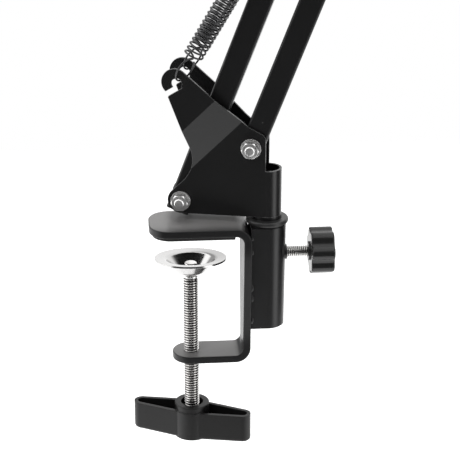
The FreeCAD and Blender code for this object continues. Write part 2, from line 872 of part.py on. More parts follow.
def base_bracket():
    end_r = pivot_low[1] - bracket_bottom
    side_x, side_z = polar(waist_slope)
    touch = (pivot_low[0] - side_z * end_r, pivot_low[1] + side_x * end_r)
    run = (touch[1] - bracket_bottom) / side_z
    toe = touch[0] - side_x * run
    crest = polar(crest_angle + 90, hook_r)
    outline = [
        (0, bracket_bottom, 0),
        (toe, bracket_bottom, end_r),
        (waist[0], waist[1], waist_r),
        (slot_corner[0], slot_corner[1], 0.5),
        (hook_centre[0], hook_centre[1], 0),
        (hook_centre[0] + crest[0], hook_centre[1] + crest[1], 0),
        (shoulder[0], shoulder[1], shoulder_r),
        (brow[0], brow[1], brow_r),
    ]
    depth = outer_y + 2 * fold_out
    blank = prism(rounded_outline(outline, 0), depth)
    blank = join([blank, cross_pin(hook_centre, 0, depth, hook_r)])
    sheet_slab = folded_slab(fold_angle, fold_start, fold_end, fold_out, 200)
    plate = blank.common(sheet_slab)
    slot_base = V(-3 * hook_r, -depth / 2, -slot_drop - slot_width / 2)
    slot = Part.makeBox(3 * hook_r + slot_end, 2 * depth, slot_width, slot_base)
    slot = slot.rotated(V(0, 0, 0), V(0, 1, 0), -slot_angle).translated(at(eye_centre))
    plate = plate.cut(slot)
    plate = plate.cut(cross_pin(eye_centre, 0, 2 * depth, eye_r))
    body = join([plate, mirrored(plate), round_bend(bracket_bottom, bend_top, 1)])
    return body.cut(bolt_hole(pivot_low)).cut(bolt_hole(pivot_high))


def base_post():
    post = Part.makeCylinder(post_r, bracket_bottom - post_tip, V(0, 0, post_tip))
    tips = [e for e in post.Edges if e.BoundBox.ZMax < post_tip + 0.01]
    post = post.makeChamfer(1.0, tips)
    spigot_r = inner_y - running_gap
    return join([post, Part.makeCylinder(spigot_r, spigot_top - bracket_bottom, V(0, 0, bracket_bottom))])


# Elbow

def elbow_plate():
    main = [
        (elbow_left, elbow_rim),
        (elbow_right, elbow_rim),
        (upper_high, elbow_rim),
        (upper_low, elbow_rim),
    ]
    arm = [(upper_high, elbow_rim), (horn, elbow_horn_r)]
    depth = outer_y + 2 * fold_out
    blank = join([prism(hull_outline(main, 0), depth), prism(hull_outline(arm, 0), depth)])
    heading = math.degrees(math.atan2(horn[1] - upper_high[1], horn[0] - upper_high[0]))
    nx, nz = polar(heading)
    base = upper_high[0] * nx + upper_high[1] * nz
    start = base + elbow_fold_from
    slab = folded_slab(heading - 90, start, start + elbow_fold_length, fold_out, 1200)
    plate = blank.common(slab)
    plate = plate.cut(cross_pin(horn, 0, 2 * depth, elbow_horn_eye_r))
    for point in (elbow_left, elbow_right, upper_low, upper_high):
        plate = plate.cut(bolt_hole(point))
    return plate


def elbow_tie():
    """Spacer tube riveted between the plates, midway between the two pairs of tubes."""
    middle = ((elbow_right[0] + upper_low[0]) / 2, (elbow_right[1] + upper_low[1]) / 2)
    return cross_pin(middle, -inner_y, inner_y, tie_r)


# Head

head_axis_x = head_low[0] + head_bend_x


def head_shift(shape):
    return shape.translated(V(head_axis_x, 0, head_low[1]))


def head_bracket():
    low = (head_low[0] - head_axis_x, 0)
    high = (head_high[0] - head_axis_x, head_high[1] - head_low[1])
    corner_r = 3.0
    main = [
        ((low[0], low[1]), head_rim),
        ((high[0], high[1]), head_rim),
        ((corner_r, head_top - corner_r), corner_r),
        ((corner_r, head_bottom + corner_r), corner_r),
    ]
    plate = prism(hull_outline(main, inner_y), sheet)
    strip_box = Part.makeBox(corner_r, sheet, head_top - head_bottom, V(0, inner_y, head_bottom))
    plate = join([plate, strip_box])
    bend = round_bend(head_bottom, head_top, -1)
    body = join([plate, mirrored(plate), bend])
    return head_shift(body.cut(bolt_hole(low)).cut(bolt_hole(high)))


def head_bush():
    start = head_bottom - head_bush_drop
    height = head_top + head_bush_rise - start
    body = Part.makeCylinder(head_bush_r, height, V(0, 0, start))
    return head_shift(body.cut(Part.makeCylinder(swivel_r + running_gap, height, V(0, 0, start))))


def washer_level():
    return head_top + head_bush_rise + running_gap


def swivel_levels():
    top = head_bottom - head_bush_drop - running_gap
    crown = top - swivel_collar
    pivot = crown - yoke_pivot_drop
    return top, crown, pivot


def swivel_yoke():
    top, crown, pivot = swivel_levels()
    end = washer_level() + washer_height + swivel_nut_height + swivel_tail
    stem = Part.makeCylinder(swivel_r, end - top, V(0, 0, top))
    tips = [e for e in stem.Edges if e.BoundBox.ZMin > end - 0.01]
    stem = stem.makeChamfer(0.6, tips)
    collar = Part.makeCylinder(swivel_collar_r, swivel_collar, V(0, 0, crown))
    half = yoke_gap / 2 + yoke_ear
    ear = yoke_width / 2
    block = Part.makeBox(yoke_width, 2 * half, crown - pivot, V(-ear, -half, pivot))
    rounds = cross_pin((0, pivot), -half, half, ear)
    block = join([block, rounds])
    slot_height = crown - yoke_crown - pivot + 2 * ear
    slot = Part.makeBox(2 * yoke_width, yoke_gap, slot_height, V(-yoke_width, -yoke_gap / 2, pivot - 2 * ear))
    block = block.cut(slot).cut(cross_pin((0, pivot), -2 * half, 2 * half, tilt_bolt_r + running_gap))
    return head_shift(join([stem, collar, block]))


def swivel_washer():
    start = washer_level()
    ring = Part.makeCylinder(swivel_collar_r, washer_height, V(0, 0, start))
    return head_shift(ring.cut(Part.makeCylinder(swivel_r + running_gap, washer_height, V(0, 0, start))))


def swivel_nut():
    start = washer_level() + washer_height
    return head_shift(hex_solid(swivel_nut_flats, swivel_nut_height, swivel_r).translated(V(0, 0, start)))


def tilt_knuckle():
    pivot = swivel_levels()[2]
    half = yoke_gap / 2 - knuckle_side_gap
    eye = cross_pin((0, pivot), -half, half, knuckle_r)
    neck = Part.makeCylinder(neck_r, neck_length, V(0, 0, pivot - neck_length))
    body = join([eye, neck])
    return head_shift(body.cut(cross_pin((0, pivot), -2 * half, 2 * half, tilt_bolt_r + running_gap)))


def mic_stud():
    """Threaded stud with its flange, pressed against the end of the knuckle's neck."""
    flange_z = swivel_levels()[2] - neck_length - stud_flange
    flange = Part.makeCylinder(stud_flange_r, stud_flange, V(0, 0, flange_z))
    flange = flange.makeChamfer(stud_flange_edge, [e for e in flange.Edges if e.BoundBox.ZLength < 0.01])
    stud = Part.makeCylinder(stud_r, stud_length, V(0, 0, flange_z - stud_length))
    tips = [e for e in stud.Edges if e.BoundBox.ZMax < flange_z - stud_length + 0.01]
    return head_shift(join([flange, stud.makeChamfer(stud_bevel, tips)]))


def tilt_levels():
    ear = yoke_gap / 2 + yoke_ear
    knob_y = ear + running_gap + tilt_washer_height + running_gap
    return ear, knob_y


def tilt_bolt():
    pivot = swivel_levels()[2]
    ear, knob_y = tilt_levels()
    shank = cross_pin((0, pivot), -knob_y - tilt_knob_height / 2, ear, tilt_bolt_r)
    head = cross_pin((0, pivot), ear, ear + tilt_head_height, tilt_head_r)
    rims = [e for e in head.Edges if e.BoundBox.YMin > ear + tilt_head_height - 0.01]
    head = head.makeFillet(0.45 * tilt_head_height, rims)
    return head_shift(join([shank, head]))


def tilt_washer():
    pivot = swivel_levels()[2]
    start = tilt_levels()[0] + running_gap
    return head_shift(tube((0, pivot), -start - tilt_washer_height, -start, tilt_washer_r, tilt_bolt_r + running_gap))


def tilt_knob():
    pivot = swivel_levels()[2]
    knob_y = tilt_levels()[1]
    body = lobed_prism(tilt_knob_r, tilt_knob_groove_r, knob_lobes, tilt_knob_height, knob_edge)
    blind = tilt_knob_height / 2 + screw_pitch
    body = body.cut(Part.makeCylinder(tilt_bolt_r + running_gap, blind))
    return head_shift(onto_pivot(body, (0, pivot), -knob_y, True))


# Build and write every piece

def build():
    pieces = {
        "clamp_frame": clamp_frame(),
        "jaw_pad": jaw_pad(),
        "post_socket": post_socket(),
        "socket_liner": socket_liner(),
        "lock_insert": lock_insert(),
        "pressure_disc": pressure_disc(),
        "pad_washer": pad_washer(),
        "clamp_screw": clamp_screw(),
        "clamp_handle": clamp_handle(),
        "lock_tip": lock_tip(),
        "lock_screw": lock_screw(),
        "lock_knob": lock_knob(),
    }
    arm = {
        "base_bracket": base_bracket(),
        "base_post": base_post(),
        "lower_left_bar": bar_tube(pivot_low, lower_dir, lower_length, [spring_pin_at]),
        "lower_right_bar": bar_tube(pivot_high, lower_dir, lower_length, []),
        "lower_spring_pin": spring_pin(lower_pin),
        "elbow_front_plate": mirrored(elbow_plate()),
        "elbow_rear_plate": elbow_plate(),
        "elbow_tie": elbow_tie(),
        "upper_low_bar": bar_tube(upper_low, upper_dir, upper_length, []),
        "upper_high_bar": bar_tube(upper_high, upper_dir, upper_length, [spring_pin_at]),
        "upper_spring_pin": spring_pin(upper_pin),
        "head_bracket": head_bracket(),
        "head_bush": head_bush(),
        "swivel_yoke": swivel_yoke(),
        "swivel_washer": swivel_washer(),
        "swivel_nut": swivel_nut(),
        "tilt_knuckle": tilt_knuckle(),
        "mic_stud": mic_stud(),
        "tilt_bolt": tilt_bolt(),
        "tilt_washer": tilt_washer(),
        "tilt_knob": tilt_knob(),
    }
    groups = {
        "base": [pivot_low, pivot_high],
        "elbow": [elbow_left, elbow_right, upper_low, upper_high],
        "head": [head_low, head_high],
    }
    for name, points in groups.items():
        bolts, nuts, washers = fastener_sets(points)
        arm[name + "_bolts"] = bolts
        arm[name + "_nuts"] = nuts
        arm[name + "_washers"] = washers
        arm[name + "_sleeves"] = sleeves(points)
    for label, side in (("front", -1), ("rear", 1)):
        eye_end, pin_end = spring_ends(eye_centre, eye_r, hook_y, lower_pin, side)
        name = "lower_spring_" + label
        arm[name] = coil_spring(name, eye_end, pin_end)
        eye_end, pin_end = spring_ends(horn, elbow_horn_eye_r, hook_y, upper_pin, side)
        arm["upper_spring_" + label] = plain_spring(eye_end, pin_end)
    for name, shape in arm.items():
        pieces[name] = in_frame(shape)
    return pieces


def main():
    os.makedirs("parts", exist_ok=True)
    for name, shape in build().items():
        if not shape.isValid():
            print(name, "isn't valid")
        shape.exportStep("parts/" + name + ".step")


main()
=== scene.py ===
import math

import bmesh
import bpy
import numpy as np
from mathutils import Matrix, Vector


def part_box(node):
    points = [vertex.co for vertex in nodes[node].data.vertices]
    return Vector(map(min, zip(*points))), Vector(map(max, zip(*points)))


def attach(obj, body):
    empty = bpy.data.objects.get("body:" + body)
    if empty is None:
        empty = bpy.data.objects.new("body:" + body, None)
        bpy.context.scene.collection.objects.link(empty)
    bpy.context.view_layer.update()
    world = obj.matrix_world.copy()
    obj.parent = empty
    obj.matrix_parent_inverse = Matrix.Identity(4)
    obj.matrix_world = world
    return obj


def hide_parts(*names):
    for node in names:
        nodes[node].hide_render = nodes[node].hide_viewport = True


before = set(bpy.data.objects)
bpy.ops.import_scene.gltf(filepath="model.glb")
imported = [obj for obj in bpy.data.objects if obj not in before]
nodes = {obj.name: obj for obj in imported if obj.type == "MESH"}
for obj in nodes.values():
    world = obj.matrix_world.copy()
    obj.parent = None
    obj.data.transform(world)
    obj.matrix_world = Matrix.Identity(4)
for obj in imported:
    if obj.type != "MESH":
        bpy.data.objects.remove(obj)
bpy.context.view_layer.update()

mm = 0.001

# Camera
# A long lens about 0.8 m away, a little left of the clamp and looking down on it, as in the photograph.
picture_pixels = 460
focal_pixels = 1550
sensor_mm = 36.0
camera_distance = 0.803
camera_azimuth = math.radians(-4.5)
camera_elevation = math.radians(21.6)
looked_at = Vector((0.0206, 0.0, -0.0003))
camera_back = Vector((
    math.sin(camera_azimuth) * math.cos(camera_elevation),
    -math.cos(camera_azimuth) * math.cos(camera_elevation),
    math.sin(camera_elevation),
))
camera_data = bpy.data.cameras.new("camera")
camera_data.sensor_width = sensor_mm
camera_data.lens = sensor_mm * focal_pixels / picture_pixels
camera_data.clip_start = 0.05
camera_data.clip_end = 20.0
camera = bpy.data.objects.new("camera", camera_data)
bpy.context.scene.collection.objects.link(camera)
camera.location = looked_at + camera_back * camera_distance
camera.rotation_mode = "QUATERNION"
camera.rotation_quaternion = (-camera_back).to_track_quat("-Z", "Y")
bpy.context.scene.camera = camera
bpy.context.scene.view_settings.view_transform = "Standard"

# Studio
# A white room: two soft lamps, a pale floor that keeps the shadow, and, for metal and gloss paint to
# mirror, a ring of panels with dark gaps, a light ceiling and a bright card low in front.
# A panel stop is a share of the way round, from the back by the left, front and right, and a level.
room_light = 0.55
panel_stops = (
    (0.000, 1.0), (0.028, 1.0), (0.042, 0.60), (0.120, 0.60), (0.150, 2.2), (0.310, 2.2), (0.345, 0.12),
    (0.600, 0.12), (0.625, 2.6), (0.685, 2.6), (0.700, 0.10), (0.800, 0.10), (0.850, 1.6), (0.992, 1.6),
    (1.000, 1.0),
)
top_level = 1.3
top_rise = (0.60, 0.80)
card_level = 2.5
card_rise = (0.50, 0.60)
card_left = (0.40, 0.44)
card_right = (0.58, 0.54)
lamps = (
    ("lamp_top", (0.05, 0.25, 1.35), 1.1, 24.0),
    ("lamp_front", (-0.75, -0.85, 0.95), 0.7, 9.0),
)
floor_z = -0.27
floor_low = (-0.62, -0.34)
floor_high = (0.50, 0.95)
floor_fade = 0.12
floor_grey = 0.86
floor_glow = 0.35


def link(tree, source, target):
    tree.links.new(source, target)


def math_node(tree, operation, first, second=None, clamp=False):
    """A Math node: first and second are sockets or plain numbers."""
    node = tree.nodes.new("ShaderNodeMath")
    node.operation = operation
    node.use_clamp = clamp
    for index, value in enumerate((first, second)):
        if value is None:
            continue
        if isinstance(value, (int, float)):
            node.inputs[index].default_value = value
        else:
            link(tree, value, node.inputs[index])
    return node.outputs[0]


def soft_step(tree, value, low, high):
    """Smooth rise from 0 at low to 1 at high."""
    node = tree.nodes.new("ShaderNodeMapRange")
    node.interpolation_type = "SMOOTHSTEP"
    link(tree, value, node.inputs["Value"])
    node.inputs["From Min"].default_value = low
    node.inputs["From Max"].default_value = high
    return node.outputs["Result"]


def light_world():
    world = bpy.data.worlds.new("room")
    bpy.context.scene.world = world
    world.use_nodes = True
    tree = world.node_tree
    tree.nodes.clear()
    rays = tree.nodes.new("ShaderNodeLightPath")
    place = tree.nodes.new("ShaderNodeTexCoord")
    parts = tree.nodes.new("ShaderNodeSeparateXYZ")
    link(tree, place.outputs["Generated"], parts.inputs[0])
    backwards = math_node(tree, "MULTIPLY", parts.outputs["Y"], -1.0)
    azimuth = math_node(tree, "ARCTAN2", parts.outputs["X"], backwards)
    share = math_node(tree, "ADD", math_node(tree, "DIVIDE", azimuth, 2 * math.pi), 0.5)
    ramp = tree.nodes.new("ShaderNodeValToRGB")
    link(tree, share, ramp.inputs[0])
    stops = ramp.color_ramp.elements
    for at, _ in panel_stops[1:-1]:
        stops.new(at)
    for stop, (at, level) in zip(stops, panel_stops):
        stop.position = at
        stop.color = (level, level, level, 1.0)
    ceiling = math_node(tree, "MULTIPLY", soft_step(tree, parts.outputs["Z"], *top_rise), top_level)
    down = math_node(tree, "MULTIPLY", parts.outputs["Z"], -1.0)
    card = math_node(tree, "MULTIPLY", soft_step(tree, down, *card_rise), card_level)
    card = math_node(tree, "MULTIPLY", card, soft_step(tree, share, *card_left))
    card = math_node(tree, "MULTIPLY", card, soft_step(tree, share, *card_right))
    ends = math_node(tree, "MAXIMUM", ceiling, card)
    panels = tree.nodes.new("ShaderNodeBackground")
    link(tree, math_node(tree, "MAXIMUM", ramp.outputs["Color"], ends), panels.inputs["Strength"])
    white = tree.nodes.new("ShaderNodeBackground")
    soft = tree.nodes.new("ShaderNodeBackground")
    for node, level in ((white, 1.0), (soft, room_light)):
        node.inputs["Color"].default_value = (1.0, 1.0, 1.0, 1.0)
        node.inputs["Strength"].default_value = level
    mirrored = tree.nodes.new("ShaderNodeMixShader")
    glossy, through = rays.outputs["Is Glossy Ray"], rays.outputs["Is Transmission Ray"]
    mirror_rays = math_node(tree, "MAXIMUM", glossy, through)
    link(tree, mirror_rays, mirrored.inputs[0])
    link(tree, soft.outputs[0], mirrored.inputs[1])
    link(tree, panels.outputs[0], mirrored.inputs[2])
    seen = tree.nodes.new("ShaderNodeMixShader")
    link(tree, rays.outputs["Is Camera Ray"], seen.inputs[0])
    link(tree, mirrored.outputs[0], seen.inputs[1])
    link(tree, white.outputs[0], seen.inputs[2])
    out = tree.nodes.new("ShaderNodeOutputWorld")
    link(tree, seen.outputs[0], out.inputs["Surface"])


def light_lamps():
    for name, place, size, power in lamps:
        data = bpy.data.lights.new(name, "AREA")
        data.shape = "SQUARE"
        data.size = size
        data.energy = power
        lamp = bpy.data.objects.new(name, data)
        bpy.context.scene.collection.objects.link(lamp)
        lamp.location = place
        lamp.visible_glossy = False
        lamp.rotation_mode = "QUATERNION"
        lamp.rotation_quaternion = (looked_at - Vector(place)).to_track_quat("-Z", "Y")


def floor_material():
    """Pale matt floor that fades out into the white room at its edges."""
    material = bpy.data.materials.new("floor")
    material.use_nodes = True
    tree = material.node_tree
    tree.nodes.clear()
    rays = tree.nodes.new("ShaderNodeLightPath")
    place = tree.nodes.new("ShaderNodeTexCoord")
    parts = tree.nodes.new("ShaderNodeSeparateXYZ")
    link(tree, place.outputs["Object"], parts.inputs[0])
    edge = 1.0
    for axis, low, high in (("X", floor_low[0], floor_high[0]), ("Y", floor_low[1], floor_high[1])):
        rise = soft_step(tree, parts.outputs[axis], low, low + floor_fade)
        fall = soft_step(tree, parts.outputs[axis], high, high - floor_fade)
        edge = math_node(tree, "MULTIPLY", math_node(tree, "MULTIPLY", rise, fall), edge)
    matt = tree.nodes.new("ShaderNodeBsdfDiffuse")
    matt.inputs["Color"].default_value = (floor_grey, floor_grey, floor_grey, 1.0)
    glow = tree.nodes.new("ShaderNodeEmission")
    seen = math_node(tree, "MAXIMUM", rays.outputs["Is Camera Ray"], rays.outputs["Is Glossy Ray"])
    link(tree, math_node(tree, "MULTIPLY", seen, floor_glow), glow.inputs["Strength"])
    lit = tree.nodes.new("ShaderNodeAddShader")
    link(tree, matt.outputs[0], lit.inputs[0])
    link(tree, glow.outputs[0], lit.inputs[1])
    clear = tree.nodes.new("ShaderNodeBsdfTransparent")
    mix = tree.nodes.new("ShaderNodeMixShader")
    link(tree, edge, mix.inputs[0])
    link(tree, clear.outputs[0], mix.inputs[1])
    link(tree, lit.outputs[0], mix.inputs[2])
    out = tree.nodes.new("ShaderNodeOutputMaterial")
    link(tree, mix.outputs[0], out.inputs["Surface"])
    return material


def lay_floor():
    (x0, y0), (x1, y1) = floor_low, floor_high
    mesh = bpy.data.meshes.new("floor")
    corners = [(x0, y0, floor_z), (x1, y0, floor_z), (x1, y1, floor_z), (x0, y1, floor_z)]
    mesh.from_pydata(corners, [], [(0, 1, 2, 3)])
    mesh.materials.append(floor_material())
    floor = bpy.data.objects.new("floor", mesh)
    bpy.context.scene.collection.objects.link(floor)


light_world()
light_lamps()
lay_floor()

# Clamp strip
# One bent steel strip under thick black paint: a broad rounded jaw above, a narrow foot below. The paint
# lies in a faint orange-peel ripple, thins on the edges and has a little dust in it; its edges are lighter,
# partly wear and partly a painted highlight, and the faces that look up carry a painted sheen.
edge_samples = 6
edge_gain = 3.5
speck_cells = 170.0
speck_radius = 0.055
speck_share = 0.35
sheen_patches = 60.0
sheen_change = 0.4
sheen_least = 0.8
sheen_up = (0.75, 0.98)


def new_group(name, inputs, outputs):
    """An empty shader node group with number inputs (name, value) and outputs (name, kind)."""
    group = bpy.data.node_groups.new(name, "ShaderNodeTree")
    for label, value in inputs:
        socket = group.interface.new_socket(label, in_out="INPUT", socket_type="NodeSocketFloat")
        socket.default_value = value
    for label, kind in outputs:
        group.interface.new_socket(label, in_out="OUTPUT", socket_type=kind)
    return group, group.nodes.new("NodeGroupInput"), group.nodes.new("NodeGroupOutput")


def surface_noise(tree, place, scale, detail):
    """Noise over Object coordinates; scale is a socket or a number of cells per metre."""
    noise = tree.nodes.new("ShaderNodeTexNoise")
    noise.inputs["Detail"].default_value = detail
    link(tree, place, noise.inputs["Vector"])
    if isinstance(scale, (int, float)):
        noise.inputs["Scale"].default_value = scale
    else:
        link(tree, scale, noise.inputs["Scale"])
    return noise.outputs[0]


def ripple_group():
    """Fine bumps of a coat or a moulding: Height for a Bump node, and Streak, a slow change of gloss."""
    group, given, result = new_group(
        "coat_ripple", [("Grain", 900.0), ("Patch", 60.0)],
        [("Height", "NodeSocketFloat"), ("Streak", "NodeSocketFloat")],
    )
    place = group.nodes.new("ShaderNodeTexCoord").outputs["Object"]
    link(group, surface_noise(group, place, given.outputs["Grain"], 2.0), result.inputs["Height"])
    slow = surface_noise(group, place, given.outputs["Patch"], 3.0)
    link(group, math_node(group, "SUBTRACT", slow, 0.5), result.inputs["Streak"])
    return group


def edge_group():
    """Rounded Normal of the surface, and Mask, 1 where an outer edge is near."""
    group, given, result = new_group(
        "rounded_edges", [("Width", 0.0004)],
        [("Normal", "NodeSocketVector"), ("Mask", "NodeSocketFloat")],
    )
    bevel = group.nodes.new("ShaderNodeBevel")
    bevel.samples = edge_samples
    link(group, given.outputs["Width"], bevel.inputs["Radius"])
    face = group.nodes.new("ShaderNodeNewGeometry")
    likeness = group.nodes.new("ShaderNodeVectorMath")
    likeness.operation = "DOT_PRODUCT"
    link(group, bevel.outputs["Normal"], likeness.inputs[0])
    link(group, face.outputs["Normal"], likeness.inputs[1])
    link(group, bevel.outputs["Normal"], result.inputs["Normal"])
    away = math_node(group, "SUBTRACT", 1.0, likeness.outputs["Value"])
    link(group, math_node(group, "MULTIPLY", away, edge_gain, clamp=True), result.inputs["Mask"])
    return group


def dust_group():
    """Sparse specks: Mask is 1 on a speck."""
    group, given, result = new_group("dust", [("Amount", 0.5)], [("Mask", "NodeSocketFloat")])
    place = group.nodes.new("ShaderNodeTexCoord").outputs["Object"]
    cells = group.nodes.new("ShaderNodeTexVoronoi")
    cells.inputs["Scale"].default_value = speck_cells
    link(group, place, cells.inputs["Vector"])
    speck = math_node(group, "LESS_THAN", cells.outputs["Distance"], speck_radius)
    chance = group.nodes.new("ShaderNodeSeparateColor")
    link(group, cells.outputs["Color"], chance.inputs[0])
    rare = math_node(group, "LESS_THAN", chance.outputs[0], speck_share)
    found = math_node(group, "MULTIPLY", speck, rare)
    link(group, math_node(group, "MULTIPLY", found, given.outputs["Amount"]), result.inputs["Mask"])
    return group


def painted_sheen_group():
    """Painted sheen on faces that look up, a lighter colour in place of the light they catch: Mask rises from
    Y = From to Y = To and varies in soft patches.
    """
    group, given, result = new_group(
        "painted_sheen", [("From", 0.0), ("To", 0.01), ("Amount", 0.8)], [("Mask", "NodeSocketFloat")],
    )
    place = group.nodes.new("ShaderNodeTexCoord")
    facing = group.nodes.new("ShaderNodeSeparateXYZ")
    link(group, place.outputs["Normal"], facing.inputs[0])
    parts = group.nodes.new("ShaderNodeSeparateXYZ")
    link(group, place.outputs["Object"], parts.inputs[0])
    across = group.nodes.new("ShaderNodeMapRange")
    across.interpolation_type = "SMOOTHSTEP"
    link(group, parts.outputs["Y"], across.inputs["Value"])
    link(group, given.outputs["From"], across.inputs["From Min"])
    link(group, given.outputs["To"], across.inputs["From Max"])
    cloud = surface_noise(group, place.outputs["Object"], sheen_patches, 2.0)
    patch = math_node(group, "ADD", math_node(group, "MULTIPLY", cloud, sheen_change), sheen_least)
    up = math_node(group, "MULTIPLY", soft_step(group, facing.outputs["Z"], *sheen_up), patch)
    spread = math_node(group, "MULTIPLY", up, across.outputs["Result"])
    mask = math_node(group, "MULTIPLY", spread, given.outputs["Amount"], clamp=True)
    link(group, mask, result.inputs["Mask"])
    return group


groups = {"ripple": ripple_group(), "edge": edge_group(), "dust": dust_group(), "painted_sheen": painted_sheen_group()}


def group_node(tree, name, values):
    node = tree.nodes.new("ShaderNodeGroup")
    node.node_tree = groups[name]
    for label, value in values.items():
        node.inputs[label].default_value = value
    return node


def finish_material(name, colour, edge_wear_and_painted_light_colour, roughness, metallic=0.0, grain=900.0, bump=0.02, patch=60.0,
                    gloss_change=0.1, edge=0.4, dust=0.0, specular=0.5):
    """A Principled finish: ripple in the bump and gloss, worn edges, a few specks of dust. The edge colour is
    partly wear and partly painted light: lighter than the finish it is a painted highlight, darker it is a
    painted shade. Grain and patch are in cells per metre, the bump's depth and the edge's width in
    millimetres."""
    material = bpy.data.materials.new(name)
    material.use_nodes = True
    tree = material.node_tree
    tree.nodes.clear()
    shader = tree.nodes.new("ShaderNodeBsdfPrincipled")
    out = tree.nodes.new("ShaderNodeOutputMaterial")
    link(tree, shader.outputs[0], out.inputs["Surface"])
    shader.inputs["Metallic"].default_value = metallic
    shader.inputs["Specular IOR Level"].default_value = specular
    ripple = group_node(tree, "ripple", {"Grain": grain, "Patch": patch})
    edges = group_node(tree, "edge", {"Width": edge * mm})
    specks = group_node(tree, "dust", {"Amount": dust})
    mix = tree.nodes.new("ShaderNodeMix")
    mix.data_type = "RGBA"
    mix.inputs[6].default_value = (*colour, 1.0)
    mix.inputs[7].default_value = (*edge_wear_and_painted_light_colour, 1.0)
    both = math_node(tree, "MAXIMUM", edges.outputs["Mask"], specks.outputs["Mask"], clamp=True)
    link(tree, both, mix.inputs[0])
    link(tree, mix.outputs[2], shader.inputs["Base Color"])
    change = math_node(tree, "MULTIPLY", ripple.outputs["Streak"], gloss_change)
    link(tree, math_node(tree, "ADD", change, roughness, clamp=True), shader.inputs["Roughness"])
    bumps = tree.nodes.new("ShaderNodeBump")
    bumps.inputs["Strength"].default_value = 1.0
    bumps.inputs["Distance"].default_value = bump * mm
    link(tree, ripple.outputs["Height"], bumps.inputs["Height"])
    link(tree, edges.outputs["Normal"], bumps.inputs["Normal"])
    link(tree, bumps.outputs[0], shader.inputs["Normal"])
    return material


def tint(material, mask, colour):
    """Lays a colour over a finish where a mask socket is 1."""
    tree = material.node_tree
    shader = next(n for n in tree.nodes if n.type == "BSDF_PRINCIPLED")
    over = tree.nodes.new("ShaderNodeMix")
    over.data_type = "RGBA"
    over.inputs[7].default_value = (*colour, 1.0)
    link(tree, mask, over.inputs[0])
    link(tree, shader.inputs["Base Color"].links[0].from_socket, over.inputs[6])
    link(tree, over.outputs[2], shader.inputs["Base Color"])


def dress(material, *names):
    """Gives CAD pieces a material."""
    for name in names:
        for slot in nodes[name].material_slots:
            slot.link = "OBJECT"
            slot.material = material


# The strip's lighter edge colour is partly wear and partly a painted highlight.
strip_paint = finish_material(
    "strip_paint", (0.007, 0.007, 0.0074), (0.080, 0.080, 0.081), 0.34,
    grain=520.0, bump=0.012, gloss_change=0.12, edge=0.5, dust=0.25, specular=0.35,
)
# Painted sheen: the jaw's faces that look up are tinted lighter, fading out towards the front edge.
painted_sheen_from = -19.5
painted_sheen_to = -6.0
painted_sheen_amount = 0.90
painted_sheen_colour = (0.155, 0.152, 0.150)
sheen_layer = group_node(strip_paint.node_tree, "painted_sheen", {
    "From": painted_sheen_from * mm, "To": painted_sheen_to * mm, "Amount": painted_sheen_amount,
})
tint(strip_paint, sheen_layer.outputs["Mask"], painted_sheen_colour)
dress(strip_paint, "clamp_frame")

# Jaw pad
# A sheet of dull black rubber glued under the upper jaw.
rubber = finish_material(
    "pad_rubber", (0.012, 0.012, 0.012), (0.016, 0.016, 0.016), 0.75,
    grain=2600.0, bump=0.05, gloss_change=0.2, edge=0.3,
)
dress(rubber, "jaw_pad")

# Post socket
# A round-fronted steel tube welded to the back of the strip by small tack welds, under the same paint.
socket_paint = finish_material(
    "socket_paint", (0.0062, 0.0062, 0.0066), (0.040, 0.040, 0.040), 0.30,
    grain=700.0, bump=0.015, gloss_change=0.1, edge=0.5, dust=0.2,
)
dress(socket_paint, "post_socket")

strip_back = 30.8
weld_half_gap = 9.35
weld_levels = (-2.0, -9.5, -29.5, -35.5, -48.0)
weld_reach = (1.1, 0.8, 1.5)
weld_proud = 0.5
weld_uneven = 0.5


def grid_faces(rows, columns, wrap):
    """Quads of a grid of points; wrap joins the last column to the first."""
    across = columns if wrap else columns - 1
    row, column = np.meshgrid(np.arange(rows - 1), np.arange(across), indexing="ij")
    after = (column + 1) % columns
    quads = np.stack((
        row * columns + column, row * columns + after,
        (row + 1) * columns + after, (row + 1) * columns + column,
    ), axis=-1)
    return quads.reshape(-1, 4)


def surface_piece(name, shells, material, body, sharp=35.0):
    """One piece of closed shells (points, quads) in millimetres, with doubles merged and faces turned out."""
    points = np.concatenate([p.reshape(-1, 3) for p, _ in shells]) * mm
    offsets = np.cumsum([0] + [p.reshape(-1, 3).shape[0] for p, _ in shells])
    quads = np.concatenate([q + o for (_, q), o in zip(shells, offsets)])
    mesh = bpy.data.meshes.new(name)
    mesh.from_pydata(points.tolist(), [], quads.tolist())
    work = bmesh.new()
    work.from_mesh(mesh)
    bmesh.ops.remove_doubles(work, verts=work.verts, dist=1e-6)
    bmesh.ops.dissolve_degenerate(work, edges=work.edges, dist=1e-7)
    bmesh.ops.recalc_face_normals(work, faces=work.faces)
    work.to_mesh(mesh)
    work.free()
    mesh.polygons.foreach_set("use_smooth", np.ones(len(mesh.polygons), bool))
    mesh.set_sharp_from_angle(angle=math.radians(sharp))
    mesh.materials.append(material)
    piece = bpy.data.objects.new(name, mesh)
    bpy.context.scene.collection.objects.link(piece)
    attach(piece, body)
    return piece


def ball(centre, reach, rows=9, columns=16):
    """A stretched ball: latitude rows by longitude columns."""
    v = np.linspace(-np.pi / 2, np.pi / 2, rows)[:, None]
    u = np.linspace(0, 2 * np.pi, columns, endpoint=False)[None, :]
    unit = np.stack((np.cos(v) * np.cos(u), np.cos(v) * np.sin(u), np.sin(v) + 0 * u), axis=-1)
    return unit * np.array(reach) + np.array(centre), grid_faces(rows, columns, True)


welds = []
for level in weld_levels:
    for side in (-1, 1):
        longer = weld_uneven * weld_reach[0] * math.sin(level)
        reach = (weld_reach[0], weld_reach[1], weld_reach[2] + longer)
        welds.append(ball((strip_back + weld_proud, side * weld_half_gap, level), reach))
weld_piece = surface_piece("socket_welds", welds, socket_paint, "clamp")

